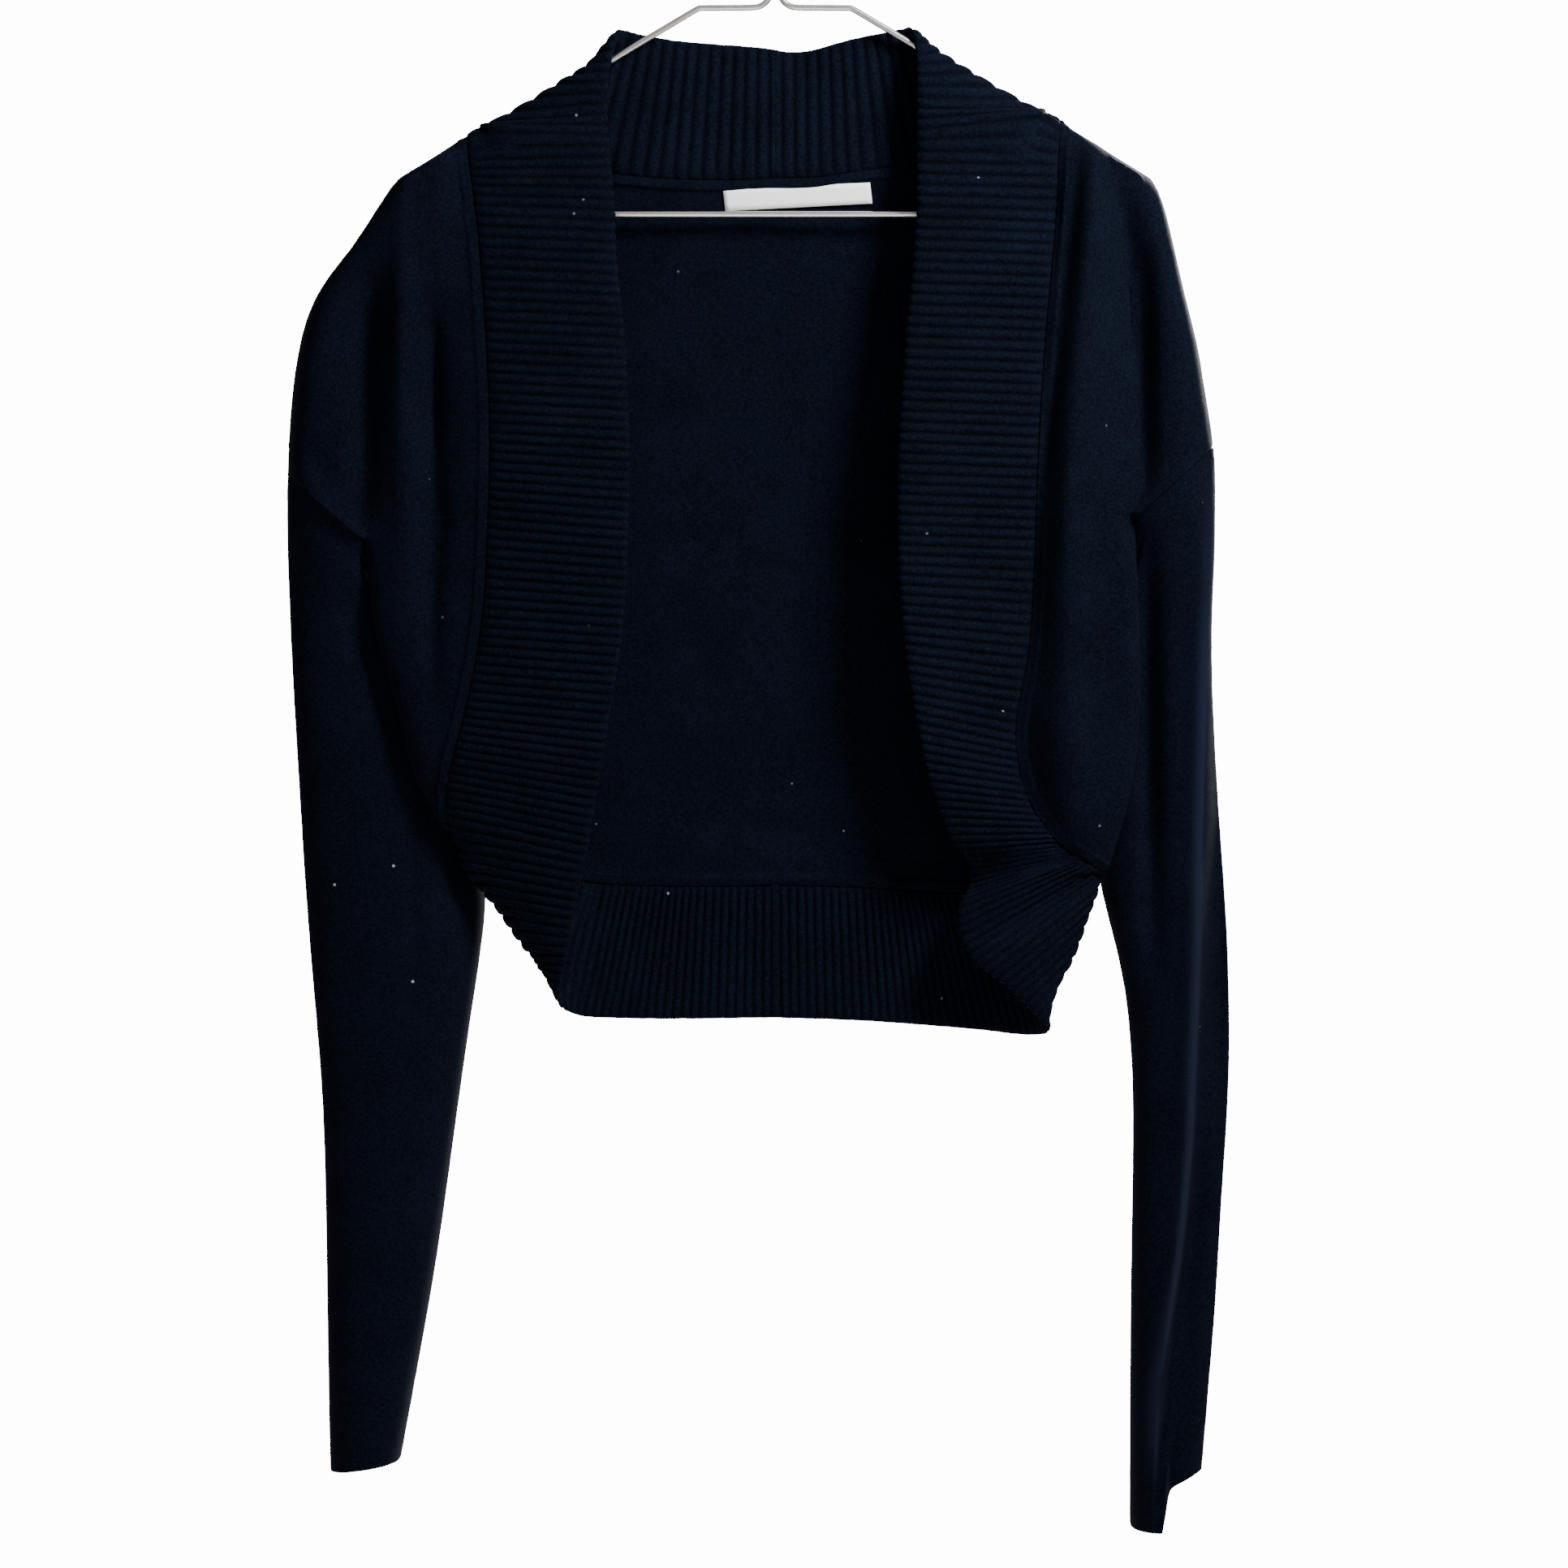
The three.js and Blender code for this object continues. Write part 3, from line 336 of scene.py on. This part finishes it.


# Softly milled knit: heathered colour, a nap, fine wales and a few caught fibres of lint, with painted shade
# in the rib valleys, a painted highlight on the rib crests and another painted along a fold's edge.
def knitMaterial(name, look):
    material, shader = blankMaterial(name)
    place = placeIn(material)
    heather = addNode(material, "ShaderNodeTexNoise", Scale=1000 / cashmere["heatherSize"], Detail=2.0)
    patches = addNode(material, "ShaderNodeTexNoise", Scale=1000 / cashmere["patchSize"], Detail=3.0)
    cells = addNode(material, "ShaderNodeTexVoronoi", Scale=1000 / cashmere["lintSpacing"])
    nap = addNode(material, "ShaderNodeTexNoise", Scale=1000 / cashmere["napSize"], Detail=3.0, Roughness=0.7)
    # a wave's bands repeat every 2 pi / 20 of its scale
    wales = addNode(
        material, "ShaderNodeTexWave", wave_type="BANDS", bands_direction=look["wales"],
        Scale=2 * math.pi / (20 * cashmere["waleSize"] * mm), Distortion=cashmere["waleWander"], Detail=2.0,
    )
    wales.inputs["Detail Scale"].default_value = 1.4
    for node in (heather, patches, cells, nap, wales):
        give(material, node, "Vector", place)

    shift = calculate(material, "MULTIPLY", (patches, "Fac"), cashmere["patchShare"])
    blend = calculate(material, "MULTIPLY_ADD", (heather, "Fac"), cashmere["heatherShare"], (shift, 0))
    stops = [(cashmere["darkAt"], cashmere["dark"]), (cashmere["lightAt"], cashmere["light"])]
    tones = colourRamp(material, (blend, 0), stops)
    tone = (addNode(material, "ShaderNodeAttribute", attribute_name=look["tone"]), "Fac")
    # for the ribs this is painted shade in the valleys and a painted highlight on the crests; for the jersey
    # it is a dark seam line
    depth = mapRange(material, tone, look["toneEnds"], look["tones"])
    colour = layOver(material, "MULTIPLY", 1.0, (tones, "Color"), (depth, "Result"))
    if look is plainLook:
        # a highlight is painted along the edge of a sharp fold
        foldHighlightMask = addNode(material, "ShaderNodeAttribute", attribute_name="foldHighlight")
        colour = layOver(material, "MIX", (foldHighlightMask, "Fac"), colour, cashmere["foldHighlight"])

    # a spot of lint lies where a cell's point is on the cloth
    size = cashmere["lintSize"]
    spot = mapRange(material, (cells, "Distance"), (size, size * cashmere["lintCore"]), (0.0, 1.0))
    choice = mapRange(material, (cells, "Color"), (cashmere["lintFaintest"], 1.0), (0.0, 1.0))
    strength = calculate(material, "MULTIPLY", (spot, "Result"), (choice, "Result"))
    colour = layOver(material, "MIX", (strength, 0), colour, cashmere["lint"])
    give(material, shader, "Base Color", colour)

    relief = calculate(material, "MULTIPLY_ADD", (wales, "Fac"), look["waleDepth"], (nap, "Fac"))
    top = bumpOf(material, (relief, 0), cashmere["napDepth"] * look["nap"], cashmere["reliefDistance"])
    if look is plainLook:
        reach = calculate(material, "DIVIDE", tone, cloth["measured"])
        stops = [(at, (height, height, height, 1)) for at, height in linkedStitches["profile"]]
        ridge = colourRamp(material, (reach, 0), stops)
        stitches = bumpOf(material, (ridge, "Color"), linkedStitches["strength"], linkedStitches["distance"])
        give(material, stitches, "Normal", (top, "Normal"))
        top = stitches
    give(material, shader, "Normal", (top, "Normal"))
    setShader(shader, cashmere["shader"])
    return material


paleSteel = {
    "dark": (0.62, 0.57, 0.54, 1),
    "light": (0.86, 0.82, 0.80, 1),
    "grain": 900.0,
    "roughness": (0.24, 0.40),
    "shader": {"Metallic": 1.0},
}


def steelMaterial():
    material, shader = blankMaterial("paleSteelWire")
    drawn = addNode(material, "ShaderNodeTexNoise", Scale=paleSteel["grain"], Detail=2.0)
    give(material, drawn, "Vector", placeIn(material))
    tones = colourRamp(material, (drawn, "Fac"), [(0.0, paleSteel["dark"]), (1.0, paleSteel["light"])])
    give(material, shader, "Base Color", (tones, "Color"))
    rough = mapRange(material, (drawn, "Fac"), (0.0, 1.0), paleSteel["roughness"])
    give(material, shader, "Roughness", (rough, "Result"))
    setShader(shader, paleSteel["shader"])
    return material


whiteTape = {
    "dark": (0.82, 0.82, 0.80, 1),
    "light": (0.93, 0.93, 0.92, 1),
    "weave": 420.0,
    "waver": 0.4,
    "bumpStrength": 0.25,
    "bumpDistance": 0.1,
    "shader": {"Roughness": 0.75, "Sheen Weight": 0.1},
}


def tapeMaterial():
    material, shader = blankMaterial("whiteTape")
    place = placeIn(material)
    threads = []
    for direction in ("X", "Z"):
        wave = addNode(
            material, "ShaderNodeTexWave", bands_direction=direction,
            Scale=whiteTape["weave"], Distortion=whiteTape["waver"],
        )
        give(material, wave, "Vector", place)
        threads.append((wave, "Fac"))
    height = calculate(material, "ADD", *threads)
    bump = bumpOf(material, (height, 0), whiteTape["bumpStrength"], whiteTape["bumpDistance"])
    give(material, shader, "Normal", (bump, "Normal"))
    tones = colourRamp(material, threads[0], [(0.0, whiteTape["dark"]), (1.0, whiteTape["light"])])
    give(material, shader, "Base Color", (tones, "Color"))
    setShader(shader, whiteTape["shader"])
    return material


jersey = knitMaterial("navyJersey", plainLook)
ribKnit = knitMaterial("navyRib", ribbedLook)
steel = steelMaterial()
tape = tapeMaterial()
print("materials made")


def finishPiece(piece, material, slotName, *nodes):
    piece.data.materials.append(material)
    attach(piece, "root")
    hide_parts(*nodes)


# The ribbed bands. Lengths are in millimetres.
band = {
    "levels": 2,
    "rimCrease": 0.35,
    "rimAngle": 75,            # degrees
    "endAngle": 1,             # radians, at the join of the two halves
    "joinHalf": 0.6,           # points this close to the middle belong to the join
    "joinOverlap": 0.05,
    "longCost": 0.02,          # what a longer pair of edges loses, per millimetre
    "crestLift": 0.35,         # a rib's crest stands at least this far over its neighbours
    "ribRise": 1.25,           # height of a rib over the knit beside it
    "valley": 2.0,             # higher is a narrower valley between broader ribs
    "seamReach": 4.0,
    "seamGap": 0.6,
    "plainStrip": 2.2,         # the ribs die out over this width beside the seam
    # the painted rib shade is lighter where there are no ribs and beside the seam
    "plainTone": 0.6,          # where there are no ribs, as a share of a crest's tone
    "seamTone": 0.35,
    "seamToneWidth": 2.8,
    "dent": {"x": 9, "z": -93, "reach": 13, "back": 3.0, "down": 1.6},
    "fine": {"seed": 3.1, "wideSize": 70, "wideDepth": 0.0, "fineSize": 4.0, "fineDepth": 0.2},
}


def atJoin(vert):
    return abs(vert.co.x) < band["joinHalf"] * mm


# The neighbours of a point along the band, which lie straight across from each other.
def alongNeighbours(vert):
    best, pair = 0.0, None
    edges = [(edge.other_vert(vert).co - vert.co, edge.other_vert(vert)) for edge in vert.link_edges]
    for i, (first, a) in enumerate(edges):
        for second, b in edges[i + 1:]:
            cost = band["longCost"] * (first.length + second.length) / mm
            score = -first.normalized().dot(second.normalized()) - cost
            if score > best:
                best, pair = score, (a, b)
    return pair


# The collar's edge sinks a little at its middle, where the halves are joined.
def dentCollar(bm):
    x, z, reach, back, down = (band["dent"][name] for name in ("x", "z", "reach", "back", "down"))
    for vert in bm.verts:
        away = math.hypot(vert.co.x / mm - x, vert.co.z / mm - z) / reach
        vert.co += Vector((0, back, -down)) * (math.exp(-away * away) * mm)


# Levels the solid's ribs and marks them: 1 on a rib's crest, 0 between the ribs.
def levelRibs(bm):
    bm.normal_update()
    crest = bm.verts.layers.float.new("rib")
    plain = bm.verts.layers.float.new("plain")
    places, pairs = {}, {}
    for vert in bm.verts:
        if atJoin(vert):
            # a rib lies over the join on the side that faces forwards
            vert[crest] = 1.0 if vert.normal.y < 0 else 0.0
            continue
        pair = alongNeighbours(vert)
        if pair is None:
            continue
        pairs[vert] = pair
        middle = (pair[0].co + pair[1].co) / 2
        if (vert.co - middle).dot(vert.normal) > band["crestLift"] * mm:
            vert[crest] = 1.0
            places[vert] = middle
    for vert, pair in pairs.items():
        if vert[crest] + pair[0][crest] + pair[1][crest] == 0:
            vert[plain] = 1.0
    for vert, middle in places.items():
        vert.co = middle


# Raises the ribs again on the finer mesh and writes their painted shade: dark in the valleys, lit on the
# crests.
def raiseRibs(bm, neighbours):
    seam = measureSeams(bm, neighbours, band["seamReach"])
    crest = bm.verts.layers.float["rib"]
    plain = bm.verts.layers.float["plain"]
    bm.normal_update()
    for vert in bm.verts:
        height = 1 - (1 - vert[crest]) ** band["valley"]
        height *= ease((vert[seam] - band["seamGap"]) / band["plainStrip"])
        seamTone = band["seamTone"] if vert[seam] < band["seamToneWidth"] else 0
        # the painted shade and highlight of the ribs, lighter where there are no ribs and beside the seam
        vert[crest] = max(height, band["plainTone"] * vert[plain], seamTone)
        vert.co += vert.normal * (height * band["ribRise"] * mm)


# The side is -1 for the left half and 1 for the right half.
def ribbedBand(nodeName, pieceName, side, neighbours):
    bm = copyOfNode(nodeName)
    levelRibs(bm)
    creaseRims(bm, band["rimCrease"], math.radians(band["rimAngle"]))
    creases = bm.edges.layers.float["crease_edge"]
    for edge in bm.edges:
        if any(atJoin(vert) for vert in edge.verts) and edge.calc_face_angle(0) > band["endAngle"]:
            edge[creases] = 1.0
    bm = refined(bm, band["levels"])
    raiseRibs(bm, neighbours)
    dentCollar(bm)
    soften(bm, band["fine"])
    for vert in bm.verts:
        if atJoin(vert):
            vert.co.x = -side * band["joinOverlap"] * mm
    return newPiece(bm, pieceName)


bandLeft = ribbedBand("band_left", "bandLeft", -1, ["front_panel_left", "back_panel"])
bandRight = ribbedBand("band_right", "bandRight", 1, ["front_panel_right", "back_panel"])
finishPiece(bandLeft, ribKnit, "navy_rib", "band_left")
finishPiece(bandRight, ribKnit, "navy_rib", "band_right")
print("bands made")

# The front panels.
front = {"levels": 3, "beadHeight": 0.6, "pinnedWidth": 4}
leftFront = {
    "creases": [
        (-184, -95, -184, -390, 6, -2.2),
        (-171, -205, -168, -420, 5.5, 3.4),
        (-200, -190, -204, -345, 6, 2.6),
        (-160, -300, -160, -430, 6, -1.0),
        (-232, -290, -204, -338, 6, 1.2),
        (-236, -262, -214, -318, 7, 0.9),
    ],
    "fine": {"seed": 7.3, "wideSize": 48, "wideDepth": 0.7, "fineSize": 6.0, "fineDepth": 0.12},
}
rightFront = {
    "creases": [
        (151, -135, 139, -250, 3.5, 3.0),
        (141, -235, 126, -345, 3.2, 3.0),
        (159, -130, 149, -260, 6, -3.0),
        (150, -230, 136, -380, 6, -2.6),
        (171, -205, 176, -420, 6, -1.8),
        (182, -190, 183, -345, 5, 5.5),
        (212, -282, 182, -322, 6, 1.2),
        (206, -250, 196, -300, 6, -0.9),
    ],
    "fine": {"seed": 11.9, "wideSize": 48, "wideDepth": 0.7, "fineSize": 6.0, "fineDepth": 0.12},
}


def frontPanel(nodeName, pieceName, settings, bandName, sleeveName):
    bm = copyOfNode(nodeName)
    creaseRims(bm, 1.0)
    bm = refined(bm, front["levels"])
    seam = measureSeams(bm, [bandName])
    free = freedom(bm, lambda vert: (
        ease((vert[seam] - cloth["pinned"]) / front["pinnedWidth"])
        * farFrom(sleeveName, vert.co, cloth["sleevePinned"])
    ))
    raiseBead(bm, front["beadHeight"])
    pressCreases(bm, settings["creases"], free)
    soften(bm, settings["fine"], free)
    closeSeam(bm, trees[bandName])
    return newPiece(bm, pieceName)


frontLeft = frontPanel("front_panel_left", "frontLeft", leftFront, "band_left", "sleeve_left")
frontRight = frontPanel("front_panel_right", "frontRight", rightFront, "band_right", "sleeve_right")
finishPiece(frontLeft, jersey, "navy_jersey", "front_panel_left")
finishPiece(frontRight, jersey, "navy_jersey", "front_panel_right")
print("front panels made")

# The back panel.
backSettings = {
    "levels": 3,
    "beadHeight": 1.4,
    "pinnedWidth": 10,
    "creases": [
        (-60, -470, 90, -492, 8, 1.0),
        (-20, -200, -30, -420, 30, 1.2),
        (40, -210, 46, -440, 26, -1.2),
    ],
    "fine": {"seed": 17.7, "wideSize": 80, "wideDepth": 1.2, "fineSize": 7.0, "fineDepth": 0.12},
}


def backPanel():
    bm = copyOfNode("back_panel")
    creaseRims(bm, 1.0)
    bm = refined(bm, backSettings["levels"])
    seam = measureSeams(bm, ["band_left", "band_right"])
    free = freedom(bm, lambda vert: (
        ease((vert[seam] - cloth["pinned"]) / backSettings["pinnedWidth"])
        * farFrom("sleeve_left", vert.co, cloth["sleevePinned"])
        * farFrom("sleeve_right", vert.co, cloth["sleevePinned"])
    ))
    raiseBead(bm, backSettings["beadHeight"])
    pressCreases(bm, backSettings["creases"], free)
    soften(bm, backSettings["fine"], free)
    for name in ("band_left", "band_right", "front_panel_left", "front_panel_right"):
        closeSeam(bm, trees[name])
    return newPiece(bm, "backPanel")


back = backPanel()
finishPiece(back, jersey, "navy_jersey", "back_panel")
print("back made")

# The sleeves. Lengths are in millimetres.
bothSleeves = {
    "levels": 3,
    "rimCrease": 0.9,
    "rowHeight": 12,           # the front and the back are told apart in rows of this height
    "turnStart": 2,            # the front's creases start this far behind a row's middle
    "turnWidth": 8,
    "pinned": 2,               # distances below the armhole
    "pinnedWidth": 14,
    "drawGap": 3.2,
    "drawReach": 6,
    "drawBelow": 5,
    # where the painted fold highlight fades out, at its top and at its foot
    "edgeFadeTop": 120,
    "edgeFadeFoot": 25,
}
leftSleeve = {
    "armhole": [(-240.8, -303.0), (-201.6, -336.4)],   # its upper and lower ends, x and z
    "creases": [
        (-240, -326, -198, -364, 17, -3.2),
        (-214, -355, -190, -430, 6, 1.4),
        (-196, -380, -176, -470, 6, -1.0),
        (-182, -470, -176, -560, 5, 1.2),
    ],
    "fine": {"seed": 23.1, "wideSize": 40, "wideDepth": 0.8, "fineSize": 6.0, "fineDepth": 0.12},
}
rightSleeve = {
    "armhole": [(216.8, -289.0), (176.6, -325.0)],
    "creases": [
        (214, -300, 208, -600, 7, -4.5),
        (209, -500, 201, -700, 6, -3.0),
        (204, -640, 186, -778, 5, -2.5),
        (224, -330, 219, -640, 5, 5.0),
        (214, -600, 200, -760, 5, 3.0),
        (184, -325, 187, -560, 6, 7.5),
    ],
    # the fold's edge, where a highlight is painted: x and z from the top down
    "edge": [(217, -290), (212, -430), (210, -510), (206, -630), (200, -690), (188, -750), (187, -800)],
    "edgeWidth": (4.6, 1.2),   # to its left and to its right
    "fine": {"seed": 29.3, "wideSize": 40, "wideDepth": 0.8, "fineSize": 6.0, "fineDepth": 0.12},
}


# Paints a highlight along the edge of a fold, from 1 on it to 0 beside it, on the side that is turned to the
# front.
def paintFoldHighlight(bm, places, widths, turned):
    foldHighlight = bm.verts.layers.float.new("foldHighlight")
    topZ, footZ = places[0][1], places[-1][1]
    fadeTop, fadeFoot = bothSleeves["edgeFadeTop"], bothSleeves["edgeFadeFoot"]
    for vert in bm.verts:
        x, z = vert.co.x / mm, vert.co.z / mm
        if not footZ < z < topZ or not turned(vert):
            continue
        for (upperX, upperZ), (lowerX, lowerZ) in zip(places, places[1:]):
            if lowerZ <= z <= upperZ:
                away = x - upperX - (lowerX - upperX) * (upperZ - z) / (upperZ - lowerZ)
                width = widths[0] if away < 0 else widths[1]
                fade = min(1, (topZ - z) / fadeTop, (z - footZ) / fadeFoot)
                vert[foldHighlight] = math.exp(-((away / width) ** 2)) * fade


# Tells how far a place lies below the line of the armhole.
def belowArmhole(ends):
    (topX, topZ), (footX, footZ) = ends
    long = math.hypot(footX - topX, footZ - topZ)
    across = ((footX - topX) / long, (footZ - topZ) / long)
    sign = 1 if across[0] > 0 else -1
    return lambda p: sign * ((p.x / mm - topX) * across[1] - (p.z / mm - topZ) * across[0])


# Tells where a sleeve's front and back part, from the rows of its points.
def middleOfRows(bm):
    def rowOf(vert):
        return round(vert.co.z / mm / bothSleeves["rowHeight"])

    rows = {}
    for vert in bm.verts:
        rows.setdefault(rowOf(vert), []).append(vert.co.y)
    middles = {row: (min(ys) + max(ys)) / 2 for row, ys in rows.items()}
    return lambda vert: middles.get(rowOf(vert), 0.0)


def sleeve(nodeName, pieceName, settings, bodyNodes):
    bm = copyOfNode(nodeName)
    creaseRims(bm, bothSleeves["rimCrease"])
    bm = refined(bm, bothSleeves["levels"])
    measureSeams(bm, [])
    below = belowArmhole(settings["armhole"])
    middle = middleOfRows(bm)

    def hanging(vert):
        return ease((below(vert.co) - bothSleeves["pinned"]) / bothSleeves["pinnedWidth"])

    def inFront(vert):
        depth = middle(vert) - vert.co.y + bothSleeves["turnStart"] * mm
        return ease(depth / (bothSleeves["turnWidth"] * mm)) * hanging(vert)

    pressCreases(bm, settings["creases"], freedom(bm, inFront))
    soften(bm, settings["fine"], freedom(bm, hanging))
    # a highlight is painted along the fold's edge
    if "edge" in settings:
        paintFoldHighlight(bm, settings["edge"], settings["edgeWidth"], lambda vert: vert.co.y < middle(vert))
    for name in bodyNodes:
        closeSeam(
            bm, trees[name], bothSleeves["drawGap"] * mm, bothSleeves["drawReach"] * mm,
            lambda p: below(p) < bothSleeves["drawBelow"],
        )
    return newPiece(bm, pieceName)


sleeveLeft = sleeve("sleeve_left", "sleeveLeft", leftSleeve, ["front_panel_left", "back_panel"])
sleeveRight = sleeve("sleeve_right", "sleeveRight", rightSleeve, ["front_panel_right", "back_panel"])
finishPiece(sleeveLeft, jersey, "navy_jersey", "sleeve_left")
finishPiece(sleeveRight, jersey, "navy_jersey", "sleeve_right")
print("sleeves made")

# The label lies in the neck with a slight waver, in millimetres.
labelSettings = {"cuts": 3, "waver": 0.12, "waverLength": 7}


def neckLabel():
    bm = copyOfNode("neck_label")
    bmesh.ops.subdivide_edges(bm, edges=bm.edges, cuts=labelSettings["cuts"], use_grid_fill=True)
    for vert in bm.verts:
        vert.co.y += labelSettings["waver"] * mm * math.sin(vert.co.x / (labelSettings["waverLength"] * mm))
    return newPiece(bm, "neckLabel")


label = neckLabel()
finishPiece(label, tape, "white_tape", "neck_label")

# The growth gives back what the rounding takes off, in millimetres.
wire = {"levels": 2, "growth": 0.10}


def roundWire():
    bm = copyOfNode("hanger")
    bm.normal_update()
    for vert in bm.verts:
        vert.co += vert.normal * wire["growth"] * mm
    return newPiece(refined(bm, wire["levels"]), "wireHanger")


hanger = roundWire()
finishPiece(hanger, steel, "pale_steel", "hanger")
print("label and hanger made")

# Floor, light and camera. Lengths are in metres but for the lens and its sensor.
studio = {
    "floorHeight": -1.5,
    "floorSize": 3.0,
    "floorShader": {"Base Color": (0.92, 0.92, 0.91, 1), "Roughness": 0.8},
    "ambient": 0.36,
    "backdrop": 14.0,
    "viewWidth": 0.7728,       # what the camera takes in at the garment
    "viewCentre": (0.0044, -0.4556),
    "viewDepth": 0.012,        # the garment's face is this far in front of the origin
    "viewEnd": 20,
    "lens": 85.0,
    "sensor": 36.0,
}
# Each light's place, target, size and power.
lights = {
    "keyLight": ((0.60, -0.54, 0.29), (0.05, 0, -0.35), 0.3, 27.0),
    "fillLight": ((0.0, -1.3, -1.1), (0, 0, -0.55), 0.8, 4.0),
    "backLight": ((1.1, 1.8, 0.5), (0, 0, -0.4), 0.9, 170.0),
}


def floorPlate():
    bm = bmesh.new()
    bmesh.ops.create_grid(bm, x_segments=2, y_segments=2, size=studio["floorSize"] / 2)
    bmesh.ops.translate(bm, verts=bm.verts, vec=(0, 0, studio["floorHeight"]))
    floor = newPiece(bm, "floor")
    material, shader = blankMaterial("paleFloor")
    setShader(shader, studio["floorShader"])
    floor.data.materials.append(material)
    return floor


def softLight(name, place, target, size, power):
    light = bpy.data.lights.new(name, "AREA")
    light.shape = "DISK"
    light.size = size
    light.energy = power
    lamp = bpy.data.objects.new(name, light)
    scene.collection.objects.link(lamp)
    lamp.location = place
    lamp.rotation_euler = (Vector(target) - Vector(place)).to_track_quat("-Z", "Y").to_euler()


# The white backdrop is brighter than the soft light that comes from it.
def paleWorld():
    world = bpy.data.worlds.new("paleStudio")
    world.use_nodes = True
    sky = world.node_tree.nodes
    backdrop = sky.new("ShaderNodeBackground")
    rays = sky.new("ShaderNodeLightPath")
    choice = sky.new("ShaderNodeMixShader")
    links = world.node_tree.links
    links.new(rays.outputs["Is Camera Ray"], choice.inputs[0])
    for socket, background, strength in (
        (1, sky["Background"], studio["ambient"]),
        (2, backdrop, studio["backdrop"]),
    ):
        background.inputs["Color"].default_value = (1, 1, 1, 1)
        background.inputs["Strength"].default_value = strength
        links.new(background.outputs[0], choice.inputs[socket])
    links.new(choice.outputs[0], sky["World Output"].inputs["Surface"])
    return world


def frontCamera():
    data = bpy.data.cameras.new("frontView")
    data.lens = studio["lens"]
    data.sensor_width = studio["sensor"]
    data.clip_end = studio["viewEnd"]
    camera = bpy.data.objects.new("frontView", data)
    scene.collection.objects.link(camera)
    distance = studio["viewWidth"] * studio["lens"] / studio["sensor"]
    x, z = studio["viewCentre"]
    camera.location = (x, -distance - studio["viewDepth"], z)
    camera.rotation_euler = (math.pi / 2, 0, 0)
    return camera


floor = floorPlate()
for name, settings in lights.items():
    softLight(name, *settings)
scene.world = paleWorld()
scene.camera = frontCamera()
print("studio set")
